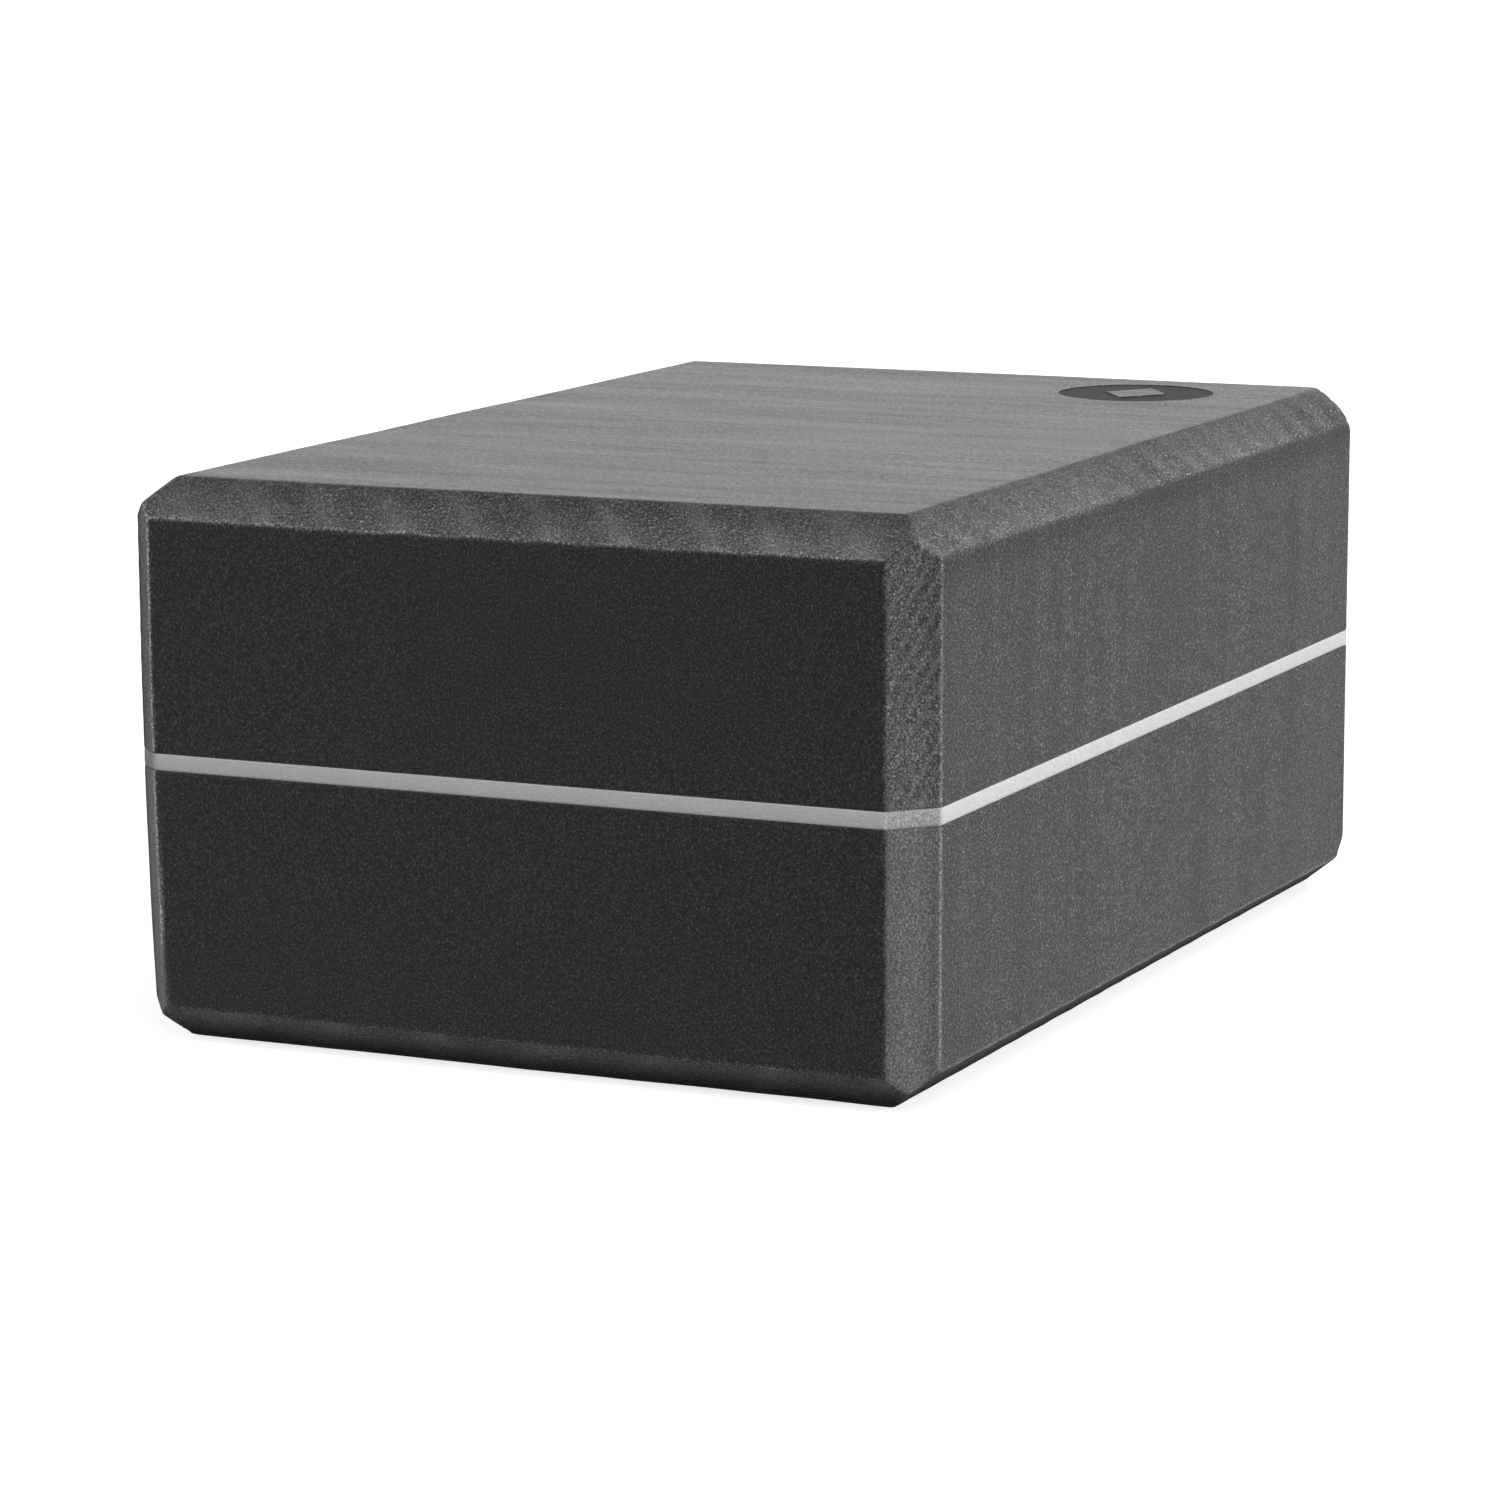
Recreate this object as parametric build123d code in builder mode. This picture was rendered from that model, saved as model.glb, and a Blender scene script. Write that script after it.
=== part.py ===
"""A laminated foam exercise block: two charcoal foam slabs glued to a thin white foam sheet.

Frame: millimetres, origin at the centre of the bottom face, +X to the right across the width,
+Y away along the length, +Z up. The block lies on its largest face.
"""

from build123d import *
import os

# Overall block, a nominal 9 x 6 x 4 inch cut
LENGTH = 228.6
WIDTH = 154.0
HEIGHT = 101.6
BEVEL = 7.0  # equal legs of the 45 degree bevel on every edge

# The layers, from the middle of the block outwards
STRIPE_THICKNESS = 3.0
GLUE_THICKNESS = 0.1

# The round mark pressed into the top, near the far right corner
MARK_DIAMETER = 31.0
MARK_FROM_RIGHT_SIDE = 37.2
MARK_FROM_BACK_END = 30.6
MARK_RECESS = 0.3
MARK_FILM_THICKNESS = 0.15
WINDOW_LENGTH = 18.0  # the lozenge of bare foam left inside the mark, along Y
WINDOW_WIDTH = 13.0  # and along X

MID_HEIGHT = HEIGHT / 2
STRIPE_BOTTOM = MID_HEIGHT - STRIPE_THICKNESS / 2
STRIPE_TOP = MID_HEIGHT + STRIPE_THICKNESS / 2
LOWER_SLAB_TOP = STRIPE_BOTTOM - GLUE_THICKNESS
UPPER_SLAB_BOTTOM = STRIPE_TOP + GLUE_THICKNESS
RECESS_FLOOR = HEIGHT - MARK_RECESS
MARK_CENTRE = (WIDTH / 2 - MARK_FROM_RIGHT_SIDE, LENGTH / 2 - MARK_FROM_BACK_END)
WINDOW_CORNERS = [
    (WINDOW_WIDTH / 2, 0),
    (0, WINDOW_LENGTH / 2),
    (-WINDOW_WIDTH / 2, 0),
    (0, -WINDOW_LENGTH / 2),
]

os.makedirs("parts", exist_ok=True)

# The whole block as it leaves the saw, after the layers are glued. Three prisms with cut corners,
# one along each axis, meet so that the three bevels of a corner run into one point.
with BuildPart() as block:
    with BuildSketch(Plane.XY):
        Rectangle(WIDTH, LENGTH)
        chamfer(vertices(), length=BEVEL)
    extrude(amount=HEIGHT)
    with BuildSketch(Plane.XZ.offset(-LENGTH / 2)):
        with Locations((0, MID_HEIGHT)):
            Rectangle(WIDTH, HEIGHT)
        chamfer(vertices(), length=BEVEL)
    extrude(amount=LENGTH, mode=Mode.INTERSECT)
    with BuildSketch(Plane.YZ.offset(-WIDTH / 2)):
        with Locations((0, MID_HEIGHT)):
            Rectangle(LENGTH, HEIGHT)
        chamfer(vertices(), length=BEVEL)
    extrude(amount=WIDTH, mode=Mode.INTERSECT)

# The outline of the mark: a disc with a lozenge left open in its middle.
with BuildSketch() as mark_outline:
    with Locations(MARK_CENTRE):
        Circle(MARK_DIAMETER / 2)
        Polygon(*WINDOW_CORNERS, align=None, mode=Mode.SUBTRACT)

# Lower slab, from the floor to the lower glue film.
with BuildPart() as lower_foam_slab:
    add(block.part)
    split(bisect_by=Plane.XY.offset(LOWER_SLAB_TOP), keep=Keep.BOTTOM)
lower_foam_slab.part.label = "lower_foam_slab"

# Film of glue between the lower slab and the white sheet.
with BuildPart() as lower_glue_film:
    add(block.part)
    split(bisect_by=Plane.XY.offset(LOWER_SLAB_TOP), keep=Keep.TOP)
    split(bisect_by=Plane.XY.offset(STRIPE_BOTTOM), keep=Keep.BOTTOM)
lower_glue_film.part.label = "lower_glue_film"

# White sheet in the middle, whose cut edge is the stripe round the block.
with BuildPart() as centre_stripe_sheet:
    add(block.part)
    split(bisect_by=Plane.XY.offset(STRIPE_BOTTOM), keep=Keep.TOP)
    split(bisect_by=Plane.XY.offset(STRIPE_TOP), keep=Keep.BOTTOM)
centre_stripe_sheet.part.label = "centre_stripe_sheet"

# Film of glue between the white sheet and the upper slab.
with BuildPart() as upper_glue_film:
    add(block.part)
    split(bisect_by=Plane.XY.offset(STRIPE_TOP), keep=Keep.TOP)
    split(bisect_by=Plane.XY.offset(UPPER_SLAB_BOTTOM), keep=Keep.BOTTOM)
upper_glue_film.part.label = "upper_glue_film"

# Upper slab, with the shallow recess that the heated die leaves under the mark.
with BuildPart() as upper_foam_slab:
    add(block.part)
    split(bisect_by=Plane.XY.offset(UPPER_SLAB_BOTTOM), keep=Keep.TOP)
    with BuildSketch(Plane.XY.offset(RECESS_FLOOR)):
        add(mark_outline.sketch)
    extrude(amount=MARK_RECESS, mode=Mode.SUBTRACT)
upper_foam_slab.part.label = "upper_foam_slab"

# Dark film of the mark, lying on the floor of its recess.
with BuildPart() as printed_mark:
    with BuildSketch(Plane.XY.offset(RECESS_FLOOR)):
        add(mark_outline.sketch)
    extrude(amount=MARK_FILM_THICKNESS)
printed_mark.part.label = "printed_mark"

export_step(lower_foam_slab.part, "parts/lower_foam_slab.step")
export_step(lower_glue_film.part, "parts/lower_glue_film.step")
export_step(centre_stripe_sheet.part, "parts/centre_stripe_sheet.step")
export_step(upper_glue_film.part, "parts/upper_glue_film.step")
export_step(upper_foam_slab.part, "parts/upper_foam_slab.step")
export_step(printed_mark.part, "parts/printed_mark.step")
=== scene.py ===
import math
from collections import namedtuple

import bmesh
import bpy
import numpy as np
from mathutils import Matrix, Vector


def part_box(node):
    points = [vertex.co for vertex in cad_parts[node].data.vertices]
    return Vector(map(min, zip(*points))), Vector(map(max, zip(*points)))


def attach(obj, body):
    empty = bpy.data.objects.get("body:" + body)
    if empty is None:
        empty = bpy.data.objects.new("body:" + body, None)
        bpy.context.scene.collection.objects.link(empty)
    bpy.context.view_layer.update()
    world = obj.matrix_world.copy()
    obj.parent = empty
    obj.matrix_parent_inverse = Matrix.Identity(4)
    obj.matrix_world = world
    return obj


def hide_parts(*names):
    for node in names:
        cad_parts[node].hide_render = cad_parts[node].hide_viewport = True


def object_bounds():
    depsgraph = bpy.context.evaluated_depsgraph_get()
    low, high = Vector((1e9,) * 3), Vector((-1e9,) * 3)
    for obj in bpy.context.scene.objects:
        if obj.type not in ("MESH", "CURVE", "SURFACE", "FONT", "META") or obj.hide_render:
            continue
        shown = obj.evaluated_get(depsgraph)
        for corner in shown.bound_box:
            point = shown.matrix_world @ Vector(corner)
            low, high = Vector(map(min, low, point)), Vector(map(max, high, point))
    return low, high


# The looks of a laminated foam exercise block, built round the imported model. Metres, origin at the
# centre of the bottom face, +X to the right across the width, +Y away along the length, +Z up.

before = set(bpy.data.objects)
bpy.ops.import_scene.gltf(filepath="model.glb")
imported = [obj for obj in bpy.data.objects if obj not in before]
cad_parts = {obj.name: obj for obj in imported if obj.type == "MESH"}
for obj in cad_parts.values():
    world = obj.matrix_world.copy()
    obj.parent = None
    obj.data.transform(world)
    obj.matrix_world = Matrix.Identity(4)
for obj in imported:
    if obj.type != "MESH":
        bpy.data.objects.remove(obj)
cad_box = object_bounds()

MM = 0.001

# ---------------------------------------------------------------- the form of the block

LOW, HIGH = (np.array(corner) for corner in cad_box)
MIDDLE = (LOW + HIGH) / 2

# Where each face of the real block lies, a little inside the CAD box at the sides.
SIDE_INSET = 0.1 * MM
FACE_AXIS = {"left": 0, "right": 0, "front": 1, "back": 1, "bottom": 2, "top": 2}
FACE_SIGN = {"left": -1, "right": 1, "front": -1, "back": 1, "bottom": -1, "top": 1}
FACE_PLACE = {
    "left": LOW[0] + SIDE_INSET,
    "right": HIGH[0] - SIDE_INSET,
    "front": LOW[1],
    "back": HIGH[1],
    "bottom": LOW[2],
    "top": HIGH[2],
}

# The left side leans in towards the floor at the front corner.
TAPER = 2.2 * MM
TAPER_TOP = 100 * MM
TAPER_POWER = 2.6

# Each bevel: its two faces; the legs in mm that it takes from each of them, at the two ends of the edge
# (left to right, front to back or floor to top); how deep it is hollowed at those ends, in mm, or how far
# it bulges where that is below 0; how much paler it is than the flat faces, beside each of its two faces,
# or how much darker where that is below 0, which is partly the paler cut and partly painted light and
# shade, with painted shade on the bottom bevels; how pale the rim beside each face is, a painted
# highlight that is partly a worn edge; and its blade marks, in mm: (pitch along the edge, slant across the
# bevel, depth).
Bevel = namedtuple("Bevel", "first second on_first on_second hollow tones rims marks")
BEVEL_ROWS = [
    ("top", "front", (5.6, 8.1), (6.9, 6.8), (0.3, 0.3), (0.12, 0.66), (0.2, 1.5), (14.5, 8.0, 0.22)),
    ("top", "back", (7.3, 5.5), (6.8, 6.8), (0, 0), (0.14, 0.60), (0.2, 1.0), (16.0, -8.0, 0.12)),
    ("top", "right", (6.65, 6.65), (6.9, 6.55), (0.25, -1.7), (0.12, 0.58), (0.2, 0.1), (12.5, 7.0, 0.16)),
    ("top", "left", (7.7, 7.6), (7.0, 7.0), (-0.3, -0.3), (0.14, 0.60), (0.2, 0.6), (13.0, -7.0, 0.10)),
    ("bottom", "front", (6.1, 6.2), (6.3, 6.3), (0, 0), (-0.85, 0.50), (0.0, 0.5), (21.0, 6.0, 0.14)),
    ("bottom", "back", (7.0, 6.8), (6.6, 6.8), (0, 0), (-0.80, 0.50), (0.0, 0.3), (19.0, 5.0, 0.13)),
    ("bottom", "right", (8.1, 7.6), (6.7, 5.8), (0, 0), (-0.88, -0.60), (0.0, 3.4), (13.0, -6.0, 0.10)),
    ("bottom", "left", (6.0, 6.6), (6.8, 6.8), (0, 0), (-0.80, 0.20), (0.0, 0.8), (18.0, 6.0, 0.10)),
    ("front", "right", (7.0, 7.0), (7.5, 7.5), (0.25, 0.25), (0.44, -0.10), (0.0, 2.0), (4.8, 17.0, 0.20)),
    ("front", "left", (4.65, 4.65), (4.5, 4.5), (0, 0), (1.50, -0.90), (4.5, 0.1), (5.0, 9.0, 0.08)),
    ("back", "right", (6.8, 6.6), (6.5, 5.5), (0, 0), (0.45, 0.10), (0.0, 1.2), (7.0, 9.0, 0.11)),
    ("back", "left", (6.6, 7.0), (6.8, 7.0), (0, 0), (0.45, 0.20), (0.2, 0.9), (7.5, -9.0, 0.11)),
]
BEVELS = [Bevel(*row) for row in BEVEL_ROWS]

# Corners where one bevel meets the next, and how pale a rim is painted there: a painted highlight that is
# partly a worn edge, and where that is below 0, a painted dark line of shade.
MEETINGS = [
    (("top", "right"), ("front", "right"), 1.4),
    (("top", "front"), ("top", "left"), 2.5),
    (("top", "front"), ("front", "left"), 3.0),
    (("top", "front"), ("front", "right"), -0.5),
    (("top", "right"), ("back", "right"), 0.6),
    (("top", "left"), ("back", "left"), 0.8),
    (("bottom", "right"), ("front", "right"), 0.6),
    (("bottom", "left"), ("back", "left"), 0.6),
]

# Corners worn flat where their three faces' depths add up to this, in mm.
WORN_CORNERS = {
    ("top", "back", "right"): 13.6,
    ("top", "back", "left"): 12.0,
    ("bottom", "back", "right"): 16.0,
    ("bottom", "back", "left"): 12.0,
}

# The faces swell and sink a little: (height in mm, size of the swellings in mm, seed).
SWELLS = [(0.07, 38, 20), (0.025, 11, 30)]

HOLLOW_POWER = 6  # how suddenly a bevel's hollow changes towards the far end of its edge
EDGE_SOFTNESS = 0.16 * MM  # how far the cut edges are rounded over
MARKS_REACH = 1.5 * MM  # blade marks are worked out only this near to a bevel
RIM_SHARPNESS = 1.8  # how narrow the painted highlights on the rims beside the bevels are
TONE_CURVE = 1.5  # how late across a bevel its tone turns
RIDGE_COARSENESS = 0.35  # how coarse the cut is on a ridge between blade marks; it is coarser in them

# Blade marks wander along the edge and vary in strength; upright bevels have clear ones only on the upper
# slab.
WANDER = 2.2 * MM
WANDER_SIZE = 17 * MM
BEVEL_WIDTH = 5  # mm
SCALLOP_POWER = 0.8
MEAN_STRENGTH = 0.65
STRENGTH_SIZE = 30 * MM
STRENGTH_SEED = 40
FAINT_MARKS = 0.12  # how strong the marks of an upright bevel are on the lower slab
FADE_FROM = 6 * MM  # below the middle
FADE_HEIGHT = 14 * MM

# The sides have painted shade, a little darker, in a strip below the top bevels, which fades out downwards.
SHADED_TONE = -0.2
SHADED_FROM = 6.7 * MM
SHADED_STRIP = 5.5 * MM
SHADED_REACH = 1.3


def smooth_step(t):
    """0 below 0 and 1 above 1, with a smooth rise between."""
    t = np.clip(t, 0, 1)
    return t * t * (3 - 2 * t)


def value_noise(u, v, cell, seed):
    """Smooth noise from -1 to 1 over two coordinates, from a table of seeded random values."""
    size = 64
    table = np.random.default_rng(seed).uniform(-1, 1, (size, size))
    u, v = u / cell, v / cell
    column, row = np.floor(u).astype(int), np.floor(v).astype(int)
    s, t = smooth_step(u - column), smooth_step(v - row)
    near = table[row % size, column % size] * (1 - s) + table[row % size, (column + 1) % size] * s
    far = (
        table[(row + 1) % size, column % size] * (1 - s)
        + table[(row + 1) % size, (column + 1) % size] * s
    )
    return near * (1 - t) + far * t


def face_depth(face, points):
    """How far each point lies below one face of the block."""
    axis, sign = FACE_AXIS[face], FACE_SIGN[face]
    depth = sign * (FACE_PLACE[face] - points[:, axis])
    along, up = [points[:, other] for other in range(3) if other != axis]
    depth -= sum(
        height * MM * value_noise(along, up, size * MM, seed + axis * 2 + (sign > 0))
        for height, size, seed in SWELLS
    )
    if face == "left":
        height = np.clip((TAPER_TOP - points[:, 2]) / TAPER_TOP, 0, 1)
        nearness = smooth_step((FACE_PLACE["back"] - points[:, 1]) / (HIGH[1] - LOW[1]))
        depth -= TAPER * height**TAPER_POWER * nearness
    return depth


def edge_axis(bevel):
    """The axis that a bevelled edge runs along."""
    return 3 - FACE_AXIS[bevel.first] - FACE_AXIS[bevel.second]


def edge_share(axis, points):
    """How far along an edge each point is, from 0 to 1."""
    return np.clip((points[:, axis] - LOW[axis]) / (HIGH[axis] - LOW[axis]), 0, 1)


def along_edge(ends, share):
    """A size given in mm for the two ends of an edge, at a share of the way along it."""
    return (ends[0] + (ends[1] - ends[0]) * share) * MM


def blade_marks(bevel, points, across):
    """Height of the scallops that the blade leaves on a bevel, from -1 in a hollow to 0 on a ridge."""
    pitch, slant, _ = bevel.marks
    seed = BEVELS.index(bevel) + 1
    along = points[:, edge_axis(bevel)]
    wander = WANDER * value_noise(along, across * BEVEL_WIDTH * MM, WANDER_SIZE, seed)
    phase = (along - slant * MM * across + wander) / (pitch * MM)
    scallop = np.abs(np.sin(math.pi * phase)) ** SCALLOP_POWER
    change = value_noise(along, np.zeros_like(along), STRENGTH_SIZE, seed + STRENGTH_SEED)
    strength = MEAN_STRENGTH + (1 - MEAN_STRENGTH) * change
    if bevel.first in ("front", "back"):
        upper = smooth_step((points[:, 2] - MIDDLE[2] + FADE_FROM) / FADE_HEIGHT)
        strength = strength * (FAINT_MARKS + (1 - FAINT_MARKS) * upper)
    return -scallop * strength


Cut = namedtuple("Cut", "outside across height")


def cuts(points, depth):
    """For each bevel: how far each point is outside it, its place across it, and the blade marks' height."""
    result = []
    for bevel in BEVELS:
        share = edge_share(edge_axis(bevel), points)
        leg_first, leg_second = along_edge(bevel.on_first, share), along_edge(bevel.on_second, share)
        slope = np.hypot(1 / leg_first, 1 / leg_second)
        outside = (1 - depth[bevel.second] / leg_first - depth[bevel.first] / leg_second) / slope
        across = np.clip(depth[bevel.first] / leg_second, 0, 1)
        outside += along_edge(bevel.hollow, share**HOLLOW_POWER) * 4 * across * (1 - across)
        height = np.zeros(len(points))
        near = outside > -MARKS_REACH
        height[near] = blade_marks(bevel, points[near], across[near])
        outside -= bevel.marks[-1] * MM * height
        result.append(Cut(outside, across, height))
    return result


def distances(points):
    """Signed distance of each point outside each face, each bevel and each worn corner, and what each
    bevel's cut is like."""
    depth = {face: face_depth(face, points) for face in FACE_AXIS}
    bevel_cuts = cuts(points, depth)
    outside = [-depth[face] for face in FACE_AXIS] + [cut.outside for cut in bevel_cuts]
    for faces, total in WORN_CORNERS.items():
        outside.append((total * MM - sum(depth[face] for face in faces)) / math.sqrt(3))
    return np.array(outside), bevel_cuts


def outside_block(points):
    """Distance outside the block, with its edges rounded over."""
    apart, _ = distances(points)
    furthest = apart.max(0)
    return furthest + EDGE_SOFTNESS * np.log(np.exp((apart - furthest) / EDGE_SOFTNESS).sum(0))


def zones(points):
    """What the materials need to know at each point: the share of it that is bevel, top or end face, the
    paleness of the foam, which is partly painted light and shade, and of the rims, which are painted
    highlights, partly worn edges, the closeness to a ridge between blade marks, how coarse the cut is, and
    the share that is a long side with its top bevel."""
    apart, bevel_cuts = distances(points)
    apart = apart[: len(FACE_AXIS) + len(BEVELS)]  # a worn corner counts as what is beside it
    weight = np.exp((apart - apart.max(0)) / EDGE_SOFTNESS)
    weight /= weight.sum(0)
    face_weight = dict(zip(FACE_AXIS, weight))
    bevel_weight = dict(zip([(bevel.first, bevel.second) for bevel in BEVELS], weight[len(FACE_AXIS):]))
    # Painted shade on the sides, in a strip below the top bevels.
    below = (HIGH[2] - SHADED_FROM - points[:, 2]) / SHADED_STRIP
    sides = face_weight["right"] + face_weight["left"]
    tone = SHADED_TONE * sides * smooth_step(SHADED_REACH - below)
    rim, ridge, coarse = 0, 0, 0
    # A bevel's tone is partly its paler cut and partly painted light and shade, with painted shade on the
    # bottom bevels; its rims are painted highlights, partly worn edges.
    for bevel, cut, part in zip(BEVELS, bevel_cuts, bevel_weight.values()):
        turned = cut.across**TONE_CURVE
        tone = tone + part * (bevel.tones[0] + (bevel.tones[1] - bevel.tones[0]) * turned)
        ridge = ridge + part * (1 + cut.height) ** 2 * (0.5 + 0.5 * cut.across)
        coarse = coarse + part * np.clip(RIDGE_COARSENESS - cut.height, 0, 1)
        for face, strength in zip((bevel.first, bevel.second), bevel.rims):
            rim = rim + strength * (4 * part * face_weight[face]) ** RIM_SHARPNESS
    # Painted highlights where one bevel meets the next, partly worn edges, and painted shade where the
    # strength is below 0.
    for one, other, strength in MEETINGS:
        rim = rim + strength * (4 * bevel_weight[one] * bevel_weight[other]) ** RIM_SHARPNESS
    return {
        "bevel": sum(bevel_weight.values()),
        "top": face_weight["top"] + face_weight["bottom"],
        "end": face_weight["front"] + face_weight["back"],
        "tone": tone,
        "rim": rim,
        "ridge": ridge,
        "coarse": coarse,
        "long": sides + bevel_weight["top", "right"] + bevel_weight["top", "left"],
    }


def margin(face, points):
    """Width of the strip beside a face that its bevels take, blended between its four edges."""
    blend_width = 0.3 * MM
    total, weights = 0, 0
    for bevel in BEVELS:
        if face not in (bevel.first, bevel.second):
            continue
        is_first = face == bevel.first
        neighbour = bevel.second if is_first else bevel.first
        legs = bevel.on_second if is_first else bevel.on_first
        share = edge_share(edge_axis(bevel), points)
        axis, sign = FACE_AXIS[neighbour], FACE_SIGN[neighbour]
        away = sign * (FACE_PLACE[neighbour] - points[:, axis])
        weight = 1 / (np.abs(away) + blend_width) ** 2
        total = total + weight * along_edge(legs, share)
        weights = weights + weight
    return total / weights


# ---------------------------------------------------------------- meshes

SHARP_ANGLE = math.radians(50)
RAY_SPAN = (0.3, 1.3)  # the surface lies between these shares of the line from a core point
RAY_STEPS = 8

# Spacing of the grid lines on the flat faces.
STEP_X = 1.15 * MM
STEP_Y = STEP_X * 1.1
STEP_Z = STEP_X * 0.9

# Where the grid lines are closer: shares of the way across a bevel's strip, from the outside inwards, and
# distances from the edge of a flat face.
FINE = np.array([0, 0.07, 0.16, 0.27, 0.39, 0.51, 0.63, 0.74, 0.83, 0.90, 0.95, 0.975, 0.99])
BESIDE_EDGE = np.array([0.0, 0.1, 0.2, 0.32, 0.48, 0.75, 1.2]) * MM


def lines(length, step, low_bevel=True, low_rows=()):
    """Grid lines across one axis. Each is (band, share): band -1 and 1 are the bevelled strips at the low
    and high ends, and 0 is the face between them. Without a low bevel, the lines start with low_rows."""
    near = BESIDE_EDGE / length if low_bevel else np.array(low_rows) / length
    far = 1 - BESIDE_EDGE[::-1] / length
    middle = np.linspace(near[-1], far[0], max(2, round((far[0] - near[-1]) * length / step)) + 1)[1:-1]
    face = np.concatenate([near, middle, far])
    result = []
    if low_bevel:
        result += [(-1, t) for t in FINE]
    result += [(0, t) for t in face]
    result += [(1, 1 - t) for t in FINE[::-1]]
    return result


def place(band_share, low, high, low_strip, high_strip):
    """Positions of grid lines, given as an array of (band, share), between two faces with bevel strips."""
    band, share = band_share[:, 0], band_share[:, 1]
    inner_low, inner_high = low + low_strip, high - high_strip
    inside = inner_low + (inner_high - inner_low) * share
    return np.where(
        band < 0, low + share * low_strip, np.where(band > 0, high - (1 - share) * high_strip, inside)
    )


def surface(points_on_box, core):
    """Moves each point of the bounding box onto the block, along the line from its core point."""
    direction = points_on_box - core
    inner, outer = [np.full(len(core), share) for share in RAY_SPAN]
    inner_gap = outside_block(core + direction * inner[:, None])
    outer_gap = outside_block(core + direction * outer[:, None])
    for _ in range(RAY_STEPS):
        share = inner - inner_gap * (outer - inner) / (outer_gap - inner_gap)
        gap = outside_block(core + direction * share[:, None])
        is_out = gap > 0
        inner_gap = np.where(is_out, inner_gap * 0.5, gap)
        outer_gap = np.where(is_out, gap, outer_gap * 0.5)
        inner = np.where(is_out, inner, share)
        outer = np.where(is_out, share, outer)
    return core + direction * share[:, None]


def boundary_loop(columns, rows):
    """Grid indices round the rim of a grid, counter-clockwise seen from above."""
    loop = [(i, 0) for i in range(columns)]
    loop += [(columns - 1, j) for j in range(1, rows)]
    loop += [(i, rows - 1) for i in range(columns - 2, -1, -1)]
    loop += [(0, j) for j in range(rows - 2, 0, -1)]
    return np.array(loop)


def box_points(x_lines, y_lines, z_lines, low_z, high_z):
    """Points on the bounding box and their core points, for lines given per point along each axis."""
    nominal = 7 * MM
    box_low = np.array([FACE_PLACE["left"], FACE_PLACE["front"], low_z])
    box_high = np.array([FACE_PLACE["right"], FACE_PLACE["back"], high_z])
    axes = list(zip((x_lines, y_lines, z_lines), box_low, box_high))
    points = np.stack([place(line, low, high, nominal, nominal) for line, low, high in axes], 1)
    strips = {face: margin(face, points) for face in FACE_AXIS}
    names = [("left", "right"), ("front", "back"), ("bottom", "top")]
    low_strips = [strips[low] for low, _ in names]
    high_strips = [strips[high] for _, high in names]
    if low_z > LOW[2]:
        low_strips[2] = np.zeros(len(points))
    if high_z < HIGH[2]:
        high_strips[2] = np.zeros(len(points))
    points = np.stack(
        [
            place(line, low, high, low_strips[i], high_strips[i])
            for i, (line, low, high) in enumerate(axes)
        ],
        1,
    )
    core = np.stack(
        [
            np.clip(points[:, i], box_low[i] + low_strips[i], box_high[i] - high_strips[i])
            for i in range(3)
        ],
        1,
    )
    return points, core


def ring(x_lines, y_lines, height_line, low_z, high_z, inset=0.0):
    """One loop of points round the block's sides at a height."""
    loop = boundary_loop(len(x_lines), len(y_lines))
    height_lines = np.tile(height_line, (len(loop), 1))
    points, core = box_points(x_lines[loop[:, 0]], y_lines[loop[:, 1]], height_lines, low_z, high_z)
    outer = surface(points, core)
    if inset:
        inward = core - outer
        outer += inward / np.linalg.norm(inward, axis=1)[:, None] * inset
    return outer


def piece(name, points, faces, material):
    """A mesh object in the scene."""
    mesh = bpy.data.meshes.new(name)
    mesh.from_pydata(points.tolist(), [], faces)
    mesh.validate()
    mesh.materials.append(material)
    obj = bpy.data.objects.new(name, mesh)
    bpy.context.scene.collection.objects.link(obj)
    return obj


def wall_faces(first, second, upward=True):
    """Quads between two loops of vertex numbers, the second above the first."""
    count = len(first)
    quads = []
    for k in range(count):
        n = (k + 1) % count
        quad = [first[k], first[n], second[n], second[k]]
        quads.append(quad if upward else quad[::-1])
    return quads


def mark_zones(obj):
    """Stores on each vertex which zone of the block it lies in, for the materials."""
    count = len(obj.data.vertices)
    points = np.empty(count * 3)
    obj.data.vertices.foreach_get("co", points)
    for zone, values in zones(points.reshape(-1, 3)).items():
        attribute = obj.data.attributes.new("zone_" + zone, "FLOAT", "POINT")
        attribute.data.foreach_set("value", values.astype(np.float32))


def shade(obj):
    """Smooth shading, with sharp edges where the surface turns by more than SHARP_ANGLE."""
    mesh = bmesh.new()
    mesh.from_mesh(obj.data)
    bmesh.ops.recalc_face_normals(mesh, faces=mesh.faces)
    for face in mesh.faces:
        face.smooth = True
    for edge in mesh.edges:
        if len(edge.link_faces) == 2 and edge.calc_face_angle() > SHARP_ANGLE:
            edge.smooth = False
    mesh.to_mesh(obj.data)
    mesh.free()


# The slabs' rims are worn beside the stripe: (distance from the joint, how far in).
JOINT_ROWS = [(0.0, 0.20 * MM), (0.07 * MM, 0.07 * MM), (0.2 * MM, 0.0), (0.6 * MM, 0.0)]


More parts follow.
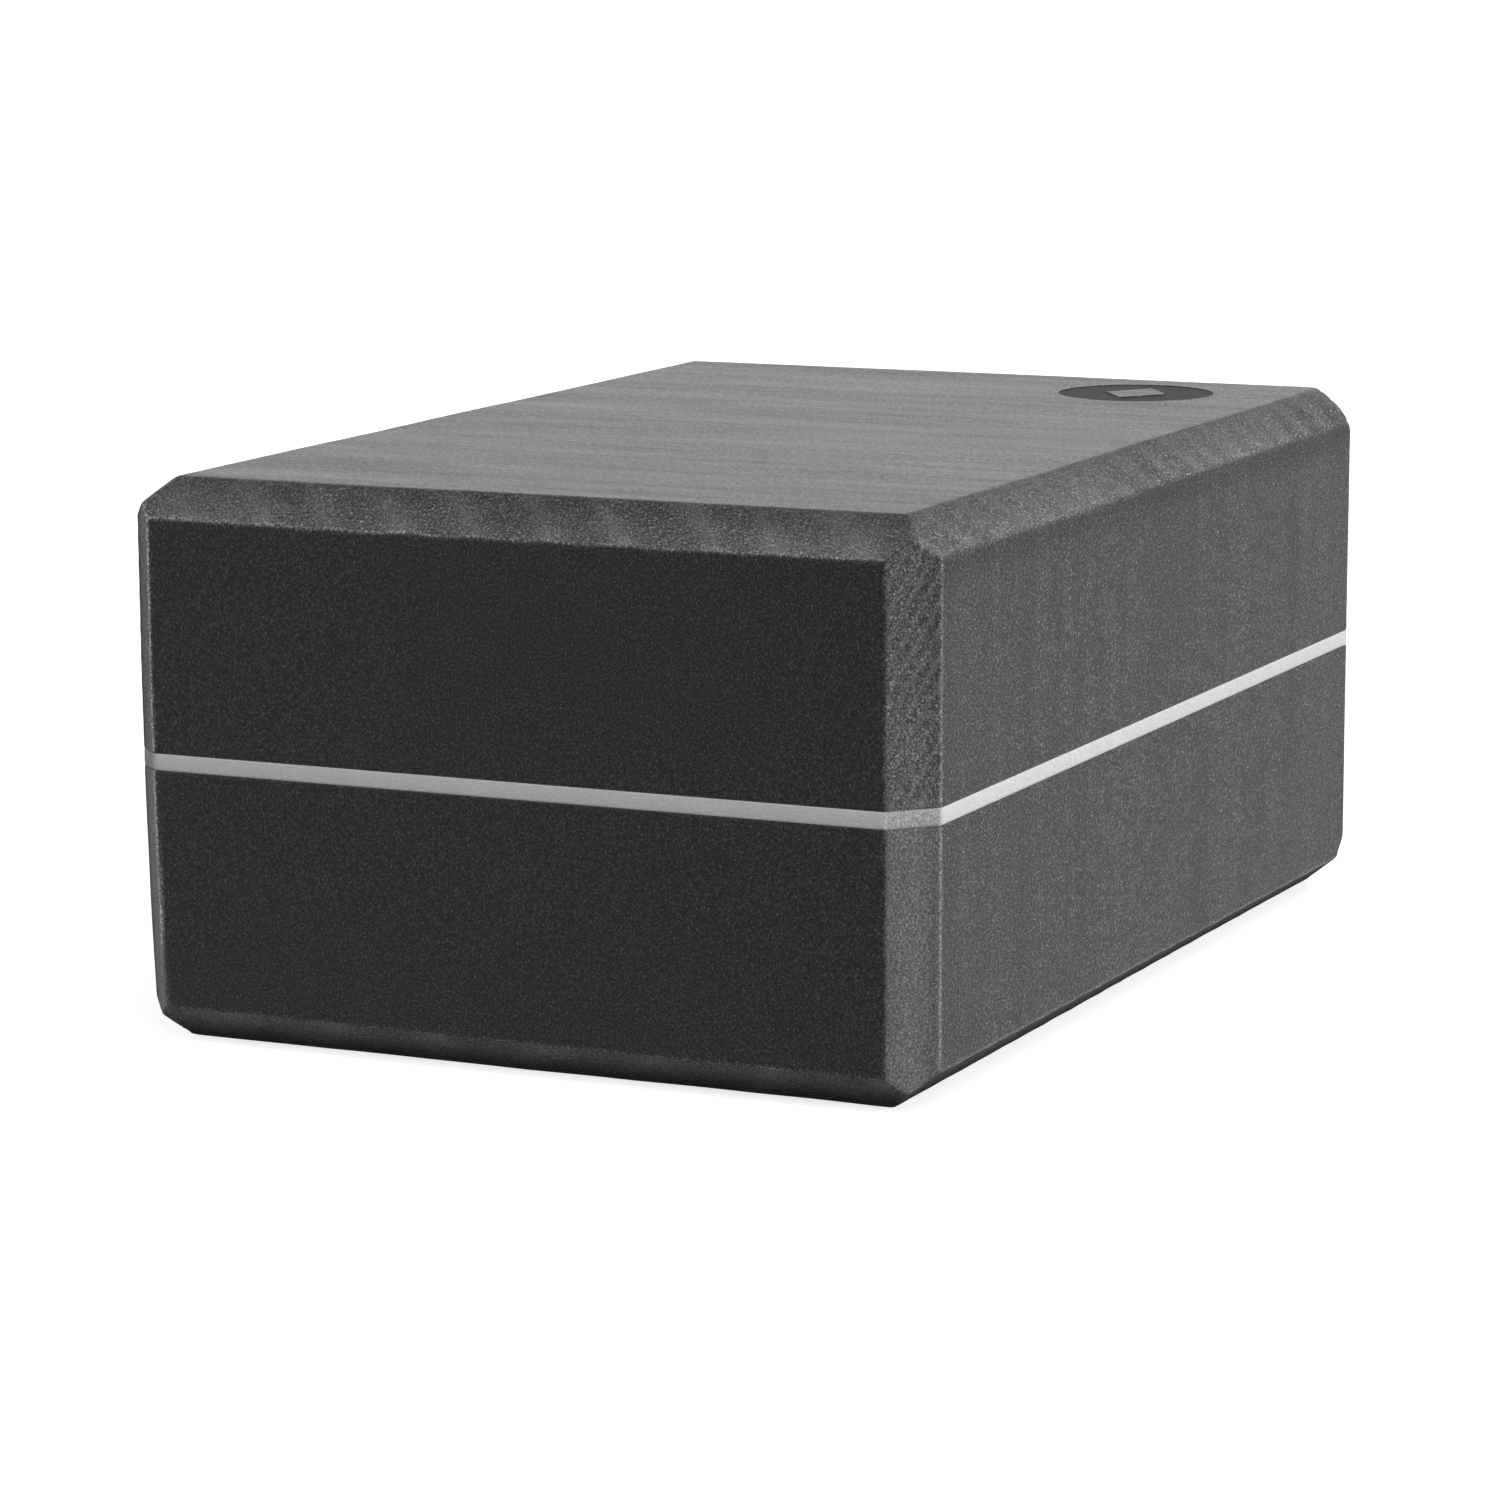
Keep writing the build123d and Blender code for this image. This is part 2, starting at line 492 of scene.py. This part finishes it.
def slab(name, joint_z, is_upper, material):
    """One foam slab: its outer face with bevels all round, its sides, and its flat glued face."""
    low_z, high_z = (joint_z, HIGH[2]) if is_upper else (LOW[2], joint_z)
    size = HIGH - LOW
    x_lines = np.array(lines(size[0], STEP_X))
    y_lines = np.array(lines(size[1], STEP_Y))
    height = high_z - low_z
    rows = [row for row, _ in JOINT_ROWS]
    # The last line is left out, because it is the rim of the outer face.
    z_lines = lines(height, STEP_Z, low_bevel=False, low_rows=rows)[:-1]
    if not is_upper:
        z_lines = [(-band, 1 - share) for band, share in z_lines]
    insets = [inset for _, inset in JOINT_ROWS] + [0.0] * (len(z_lines) - len(JOINT_ROWS))

    columns, depth_rows = len(x_lines), len(y_lines)
    i, j = np.meshgrid(range(columns), range(depth_rows), indexing="ij")
    outer_line = (1, 1.0) if is_upper else (-1, 0.0)
    outer_lines = np.tile(outer_line, (i.size, 1))
    points, core = box_points(x_lines[i.ravel()], y_lines[j.ravel()], outer_lines, low_z, high_z)
    cap = surface(points, core)
    numbers = np.arange(cap.shape[0]).reshape(columns, depth_rows)
    faces = []
    for a in range(columns - 1):
        for b in range(depth_rows - 1):
            quad = [numbers[a, b], numbers[a + 1, b], numbers[a + 1, b + 1], numbers[a, b + 1]]
            faces.append(quad if is_upper else quad[::-1])
    loop = boundary_loop(columns, depth_rows)
    upper_loop = numbers[loop[:, 0], loop[:, 1]]
    all_points = [cap]
    count = len(cap)
    for line, inset in reversed(list(zip(z_lines, insets))):
        wall = ring(x_lines, y_lines, line, low_z, high_z, inset)
        lower_loop = np.arange(count, count + len(wall))
        faces += wall_faces(lower_loop, upper_loop, is_upper)
        all_points.append(wall)
        count += len(wall)
        upper_loop = lower_loop
    faces.append(list(upper_loop[::-1] if is_upper else upper_loop))
    faces = [[int(v) for v in face] for face in faces]
    return piece(name, np.concatenate(all_points), faces, material)


def sheet_layer(name, low_z, high_z, rows, material):
    """A thin layer of the laminate between two heights. Each row is (share of the thickness, inset)."""
    size = HIGH - LOW
    x_lines = np.array(lines(size[0], STEP_X))
    y_lines = np.array(lines(size[1], STEP_Y))
    all_points, faces, count, previous = [], [], 0, None
    for share, inset in rows:
        wall = ring(x_lines, y_lines, (0, share), low_z, high_z, inset)
        current = np.arange(count, count + len(wall))
        if previous is None:
            faces.append(list(current[::-1]))
        else:
            faces += wall_faces(previous, current)
        all_points.append(wall)
        count += len(wall)
        previous = current
    faces.append(list(previous))
    faces = [[int(v) for v in face] for face in faces]
    return piece(name, np.concatenate(all_points), faces, material)


def press_mark(obj):
    """Presses the recess of the round mark into the top of a slab."""
    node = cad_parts["printed_mark"]
    low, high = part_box("printed_mark")
    centre = (low + high) / 2
    radius = (high.x - low.x) / 2
    offsets = [(v.co.x - centre.x, v.co.y - centre.y) for v in node.data.vertices]
    near_rim = radius * 0.9  # every vertex nearer the centre than this is on the window
    window = [(x, y) for x, y in offsets if math.hypot(x, y) < near_rim]
    half_width = max(x for x, _ in window)
    half_length = max(y for _, y in window)
    clearance = 0.05 * MM
    overshoot = 1 * MM
    segments = 96
    rings = []
    for z in (low.z, HIGH[2] + overshoot):
        for is_outer in (False, True):
            loop = []
            for k in range(segments):
                angle = 2 * math.pi * k / segments
                c, s = math.cos(angle), math.sin(angle)
                reach = radius + clearance
                if not is_outer:
                    reach = 1 / (abs(c) / (half_width - clearance) + abs(s) / (half_length - clearance))
                loop.append((centre.x + reach * c, centre.y + reach * s, z))
            rings.append(loop)
    points = np.array([p for loop in rings for p in loop])
    numbers = np.arange(len(points)).reshape(len(rings), segments)
    faces = []
    for a, b in ((0, 1), (1, 3), (3, 2), (2, 0)):
        faces += wall_faces(numbers[a].tolist(), numbers[b].tolist())
    cutter = piece("mark_cutter", points, faces, obj.data.materials[0])
    shade(cutter)
    modifier = obj.modifiers.new("recess", "BOOLEAN")
    modifier.operation = "DIFFERENCE"
    modifier.solver = "EXACT"
    modifier.object = cutter
    depsgraph = bpy.context.evaluated_depsgraph_get()
    mesh = bpy.data.meshes.new_from_object(obj.evaluated_get(depsgraph), depsgraph=depsgraph)
    obj.modifiers.clear()
    obj.data = mesh
    bpy.data.objects.remove(cutter)


# ---------------------------------------------------------------- materials

class Nodes:
    """A short way to write a material's node tree."""

    def __init__(self, name):
        self.material = bpy.data.materials.new(name)
        self.material.use_nodes = True
        self.tree = self.material.node_tree
        self.shader = self.tree.nodes["Principled BSDF"]
        self.place = self.add("ShaderNodeTexCoord").outputs["Object"]

    def add(self, kind, **settings):
        node = self.tree.nodes.new(kind)
        for key, value in settings.items():
            setattr(node, key, value)
        return node

    def link(self, source, target):
        if isinstance(source, (int, float)):
            target.default_value = source
        else:
            self.tree.links.new(source, target)

    def math(self, operation, first, second=0.0, clamp=False):
        """One operation on values, each of them a number or an output."""
        node = self.add("ShaderNodeMath", operation=operation, use_clamp=clamp)
        self.link(first, node.inputs[0])
        self.link(second, node.inputs[1])
        return node.outputs[0]

    def zone(self, name):
        """A zone's share, as mark_zones stored it."""
        return self.add("ShaderNodeAttribute", attribute_name="zone_" + name).outputs["Fac"]

    def noise(self, size, detail=2.0, roughness=0.5, vector=None):
        """Noise centred on 0, about -1 to 1, with features of a size in metres."""
        node = self.add("ShaderNodeTexNoise")
        node.inputs["Scale"].default_value = 1 / size
        node.inputs["Detail"].default_value = detail
        node.inputs["Roughness"].default_value = roughness
        self.link(vector or self.place, node.inputs["Vector"])
        centred = self.math("SUBTRACT", node.outputs["Fac"], 0.5)
        return self.math("MULTIPLY", centred, 4.0)

    def drawn_noise(self, sizes, detail=2.0, roughness=0.5):
        """The same noise with features drawn out to a size in mm along each axis."""
        node = self.add("ShaderNodeMapping")
        node.inputs["Scale"].default_value = [1 / (size * MM) for size in sizes]
        self.link(self.place, node.inputs["Vector"])
        return self.noise(1.0, detail, roughness, node.outputs["Vector"])

    def cells(self, size):
        """Round cells of a size in metres."""
        node = self.add("ShaderNodeTexVoronoi")
        node.inputs["Scale"].default_value = 1 / size
        self.link(self.place, node.inputs["Vector"])
        return node

    def grainy(self, grain, strength):
        """A grain that brightens more than it darkens."""
        return self.math("EXPONENT", self.math("MULTIPLY", grain, strength))

    def tone(self, base, *factors, times=1.0):
        """A colour times 1 plus each (strength, value) in turn."""
        total = times
        for strength, value in factors:
            amount = self.math("MULTIPLY", value, strength)
            total = self.math("MULTIPLY", total, self.math("ADD", amount, 1.0))
        scale = self.add("ShaderNodeVectorMath", operation="SCALE")
        scale.inputs[0].default_value = base
        self.link(total, scale.inputs["Scale"])
        return scale.outputs["Vector"]

    def bump(self, height, distance):
        node = self.add("ShaderNodeBump")
        node.inputs["Distance"].default_value = distance
        node.inputs["Strength"].default_value = 1.0
        self.link(height, node.inputs["Height"])
        return node.outputs["Normal"]


GRAIN_ROUGHNESS = 0.65
SIDE_GRAIN = 1.2  # how strong the grain is on the long sides, where it is 1 on the ends
TOP_GRAIN = 0.8


def fine_grain(m):
    """Fine grain, drawn out along the block on its long sides and its top, the way the foam was sliced."""
    even = m.noise(0.38 * MM, 2.0, GRAIN_ROUGHNESS)
    on_sides = m.drawn_noise((0.40, 0.80, 0.40), 2.0, GRAIN_ROUGHNESS)
    on_top = m.drawn_noise((0.45, 1.6, 0.45), 2.0, GRAIN_ROUGHNESS)
    side, top = m.zone("long"), m.zone("top")
    total = m.math("MULTIPLY", even, m.math("SUBTRACT", m.math("SUBTRACT", 1.0, side), top))
    total = m.math("ADD", total, m.math("MULTIPLY", on_sides, m.math("MULTIPLY", side, SIDE_GRAIN)))
    return m.math("ADD", total, m.math("MULTIPLY", on_top, m.math("MULTIPLY", top, TOP_GRAIN)))


SPECK_SPACING = 2.3 * MM
SPECK_SHARE = 0.2  # of the cells that have a speck
SPECK_RADIUS = 0.085  # as a share of the spacing
SHINE = 0.345


def charcoal_foam():
    """Firm closed-cell foam: fine grain, sparse pale specks, streaks across the top, soft upright bands on
    the long sides, and bevels a little paler and coarser, partly from the cut and partly painted light and
    shade. Painted shade darkens the ends and the bottom bevels, and painted highlights lighten the rims and
    the ridges between blade marks. Where its tone is darker it shines less."""
    m = Nodes("charcoal_foam")
    bevel, top, end = m.zone("bevel"), m.zone("top"), m.zone("end")
    fine = fine_grain(m)
    rough = m.noise(0.62 * MM, 2.0, 0.6)
    patches = m.noise(9 * MM, 3.0, 0.55)
    smudges = m.drawn_noise((34, 16, 16))
    streaks = m.drawn_noise((60, 7, 200), 4.0, 0.65)
    bands = m.drawn_noise((14, 6, 90))
    speck_cells = m.cells(SPECK_SPACING)
    is_chosen = m.math("GREATER_THAN", speck_cells.outputs["Color"], 1 - SPECK_SHARE)
    is_near = m.math("LESS_THAN", speck_cells.outputs["Distance"], SPECK_RADIUS)
    specks = m.math("MULTIPLY", is_chosen, is_near)
    coarse = m.zone("coarse")
    plainness = m.math("SUBTRACT", 1.0, m.math("MULTIPLY", m.math("SUBTRACT", bevel, coarse), 0.8))
    grain = m.math("MULTIPLY", fine, m.math("ADD", plainness, m.math("MULTIPLY", coarse, 0.2)))
    grain = m.math("ADD", grain, m.math("MULTIPLY", m.math("MULTIPLY", rough, coarse), 0.3))
    # Painted shade dims the sheen and specular too: where the tone is darker, the foam shines less.
    shown = m.math("ADD", m.zone("tone"), 1.0, clamp=True)
    lined = m.math("ADD", m.math("MULTIPLY", streaks, 0.25), m.math("MULTIPLY", fine, 0.32))
    lined = m.math("MULTIPLY", m.math("SUBTRACT", lined, 0.12), top)
    shine = m.math("MULTIPLY", m.math("MULTIPLY", shown, m.math("ADD", lined, 1.0)), SHINE)
    colour = m.tone(
        (0.0490, 0.0476, 0.0480),
        (0.06, patches),
        (0.10, m.math("MULTIPLY", smudges, top)),
        (0.20, m.math("MULTIPLY", streaks, top)),
        (0.22, m.math("MULTIPLY", bands, m.math("SUBTRACT", 1.0, end))),
        # painted light and shade on the bevels and the sides, partly the paler cut
        (1.0, m.zone("tone")),
        # painted shade on the ends
        (-0.41, end),
        (-0.25, top),
        (0.9, specks),
        # painted light on the ridges between blade marks, partly a paler cut
        (1.50, m.zone("ridge")),
        (-0.10, bevel),
        # painted highlights on the rims, partly worn edges
        (1.0, m.zone("rim")),
        times=m.grainy(grain, 1.7),
    )
    m.link(colour, m.shader.inputs["Base Color"])
    m.link(m.math("ADD", m.math("MULTIPLY", fine, 0.06), 0.78), m.shader.inputs["Roughness"])
    # Both of these vary over the surface, so the export drops them, and the exported foam has no sheen.
    m.link(shine, m.shader.inputs["Specular IOR Level"])
    m.link(shine, m.shader.inputs["Sheen Weight"])
    m.shader.inputs["Sheen Roughness"].default_value = 0.45
    height = m.math("ADD", fine, m.math("MULTIPLY", rough, coarse))
    m.link(m.bump(height, 0.045 * MM), m.shader.inputs["Normal"])
    return m.material


def white_foam():
    """The same foam in white, greyer on the bevels with painted shade."""
    m = Nodes("white_foam")
    bevel, end = m.zone("bevel"), m.zone("end")
    fine = fine_grain(m)
    patches = m.noise(7 * MM, 2.0, 0.5)
    grain = m.math("MULTIPLY", fine, m.math("ADD", m.math("MULTIPLY", bevel, 0.6), 0.12))
    colour = m.tone(
        (0.73, 0.73, 0.725),
        (0.03, patches),
        (-0.02, end),
        # painted shade on the bevels
        (-0.54, bevel),
        times=m.grainy(grain, 0.9),
    )
    m.link(colour, m.shader.inputs["Base Color"])
    m.shader.inputs["Roughness"].default_value = 0.75
    m.shader.inputs["Specular IOR Level"].default_value = 0.3
    m.link(m.bump(fine, 0.03 * MM), m.shader.inputs["Normal"])
    return m.material


def glue():
    """A thin grey line of adhesive."""
    m = Nodes("glue")
    fine = m.noise(0.9 * MM, 2.0, 0.5)
    m.link(m.tone((0.10, 0.098, 0.092), (0.2, fine)), m.shader.inputs["Base Color"])
    m.shader.inputs["Roughness"].default_value = 0.45
    return m.material


def mark_film():
    """Dark matt print."""
    m = Nodes("mark_film")
    fine = m.noise(0.5 * MM, 2.0, 0.6)
    colour = m.tone((0.019, 0.019, 0.0192), (0.25, fine))
    m.link(colour, m.shader.inputs["Base Color"])
    m.link(m.math("ADD", m.math("MULTIPLY", fine, 0.06), 0.7), m.shader.inputs["Roughness"])
    m.shader.inputs["Specular IOR Level"].default_value = 0.22
    m.link(m.bump(fine, 0.03 * MM), m.shader.inputs["Normal"])
    return m.material


# ---------------------------------------------------------------- the pieces

def finish_piece(obj, node):
    """Parents a piece to the root body and hides the CAD node it stands for."""
    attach(obj, "root")
    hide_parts(node)


foam, white, adhesive = charcoal_foam(), white_foam(), glue()

upper = slab("upper_foam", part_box("upper_foam_slab")[0].z, True, foam)
press_mark(upper)
lower = slab("lower_foam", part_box("lower_foam_slab")[1].z, False, foam)
for obj, node in ((upper, "upper_foam_slab"), (lower, "lower_foam_slab")):
    mark_zones(obj)
    shade(obj)
    finish_piece(obj, node)

# The stripe's rims are worn: (share of its thickness, how far in), and the same again from the other side.
STRIPE_ROWS = [(0.0, 0.16 * MM), (0.04, 0.06 * MM), (0.12, 0.02 * MM), (0.5, 0.0)]
STRIPE_ROWS += [(1 - share, inset) for share, inset in STRIPE_ROWS[-2::-1]]
stripe_low, stripe_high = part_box("centre_stripe_sheet")
stripe = sheet_layer("white_stripe", stripe_low.z, stripe_high.z, STRIPE_ROWS, white)
mark_zones(stripe)
shade(stripe)
finish_piece(stripe, "centre_stripe_sheet")

GLUE_INSET = 0.14 * MM  # the glue lies a little inside the foam's rims
for node in ("upper_glue_film", "lower_glue_film"):
    film_low, film_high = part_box(node)
    rows = [(0.0, GLUE_INSET), (1.0, GLUE_INSET)]
    film = sheet_layer(node + "_line", film_low.z, film_high.z, rows, adhesive)
    shade(film)
    finish_piece(film, node)

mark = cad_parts["printed_mark"]
mark.data.materials.clear()
mark.data.materials.append(mark_film())

# ---------------------------------------------------------------- stage, light and camera

# Broad soft lights, so wide that no shadow has an edge: (azimuth, elevation, strength). Azimuth 0 is
# beyond the front end and 90 beyond the right side. The first four were picked and weighed by a
# least-squares fit to the photo's tones, then scaled and rounded. The last two were set one by one.
LIGHT_SPREAD = math.radians(40)
LIGHTS = {
    "right_front_light": (60, 10, 1.18),
    "right_light": (90, 10, 1.48),
    "high_light": (60, 60, 0.95),
    "back_light": (180, 10, 0.42),
    "back_left_light": (-150, 10, 0.56),
    "left_light": (-90, 10, 1.40),
}
for name, (azimuth, elevation, strength) in LIGHTS.items():
    turn, lift = math.radians(azimuth), math.radians(elevation)
    out = Vector((math.sin(turn) * math.cos(lift), -math.cos(turn) * math.cos(lift), math.sin(lift)))
    light = bpy.data.lights.new(name, "SUN")
    light.energy = strength
    light.angle = LIGHT_SPREAD
    lamp = bpy.data.objects.new(name, light)
    lamp.location = Vector(MIDDLE) + out
    lamp.rotation_euler = (-out).to_track_quat("-Z", "Y").to_euler()
    bpy.context.scene.collection.objects.link(lamp)

# The room gives a dim even light, and looks white.
ROOM_LIGHT = 0.175
world = bpy.data.worlds.new("studio")
world.use_nodes = True
room = world.node_tree.nodes["Background"]
seen = world.node_tree.nodes.new("ShaderNodeLightPath")
strength = world.node_tree.nodes.new("ShaderNodeMapRange")
strength.inputs["To Min"].default_value = ROOM_LIGHT
strength.inputs["To Max"].default_value = 1.0
world.node_tree.links.new(seen.outputs["Is Camera Ray"], strength.inputs["Value"])
world.node_tree.links.new(strength.outputs["Result"], room.inputs["Strength"])
room.inputs["Color"].default_value = (1, 1, 1, 1)
bpy.context.scene.world = world

FLOOR_HALF = 15.0
FLOOR_GAP = 0.08 * MM  # room for the swellings of the underside
floor_mesh = bpy.data.meshes.new("floor")
corners = [(x * FLOOR_HALF, y * FLOOR_HALF, 0) for x, y in ((-1, -1), (1, -1), (1, 1), (-1, 1))]
floor_mesh.from_pydata(corners, [], [(0, 1, 2, 3)])
floor = bpy.data.objects.new("floor", floor_mesh)
floor.location.z = LOW[2] - FLOOR_GAP
bpy.context.scene.collection.objects.link(floor)
# The paper glows a little, so that it looks as white as the background, and doesn't light the block.
floor_look = Nodes("floor_paper")
floor_look.shader.inputs["Base Color"].default_value = (0.80, 0.80, 0.80, 1)
floor_look.shader.inputs["Roughness"].default_value = 0.9
floor_look.shader.inputs["Emission Color"].default_value = (1, 1, 1, 1)
floor_look.shader.inputs["Emission Strength"].default_value = 0.72
floor_mesh.materials.append(floor_look.material)
floor.visible_diffuse = False
floor.visible_glossy = False

# The camera looks down on the block from beyond its right front corner. Its place, angles and lens come
# from a fit to the block's edges in the photo.
CAMERA_PLACE = Vector((417.46, -928.42, 219.24)) * MM
CAMERA_AZIMUTH = math.radians(24.588)
CAMERA_ELEVATION = math.radians(10.012)
CAMERA_ROLL = math.radians(-0.174)
SENSOR_WIDTH = 36  # mm
FOCAL_LENGTH = 129.26  # mm
forward = Vector(
    (
        -math.sin(CAMERA_AZIMUTH) * math.cos(CAMERA_ELEVATION),
        math.cos(CAMERA_AZIMUTH) * math.cos(CAMERA_ELEVATION),
        -math.sin(CAMERA_ELEVATION),
    )
)
level = Vector((math.cos(CAMERA_AZIMUTH), math.sin(CAMERA_AZIMUTH), 0))
upright = level.cross(forward)
right = level * math.cos(CAMERA_ROLL) + upright * math.sin(CAMERA_ROLL)
up = upright * math.cos(CAMERA_ROLL) - level * math.sin(CAMERA_ROLL)
camera_data = bpy.data.cameras.new("camera")
camera_data.sensor_width = SENSOR_WIDTH
camera_data.lens = FOCAL_LENGTH
camera_data.clip_end = 100
camera = bpy.data.objects.new("camera", camera_data)
turn = Matrix((right, up, -forward)).transposed().to_4x4()
camera.matrix_world = Matrix.Translation(CAMERA_PLACE) @ turn
bpy.context.scene.collection.objects.link(camera)
bpy.context.scene.camera = camera

bpy.context.scene.view_settings.view_transform = "Standard"

bpy.context.view_layer.update()
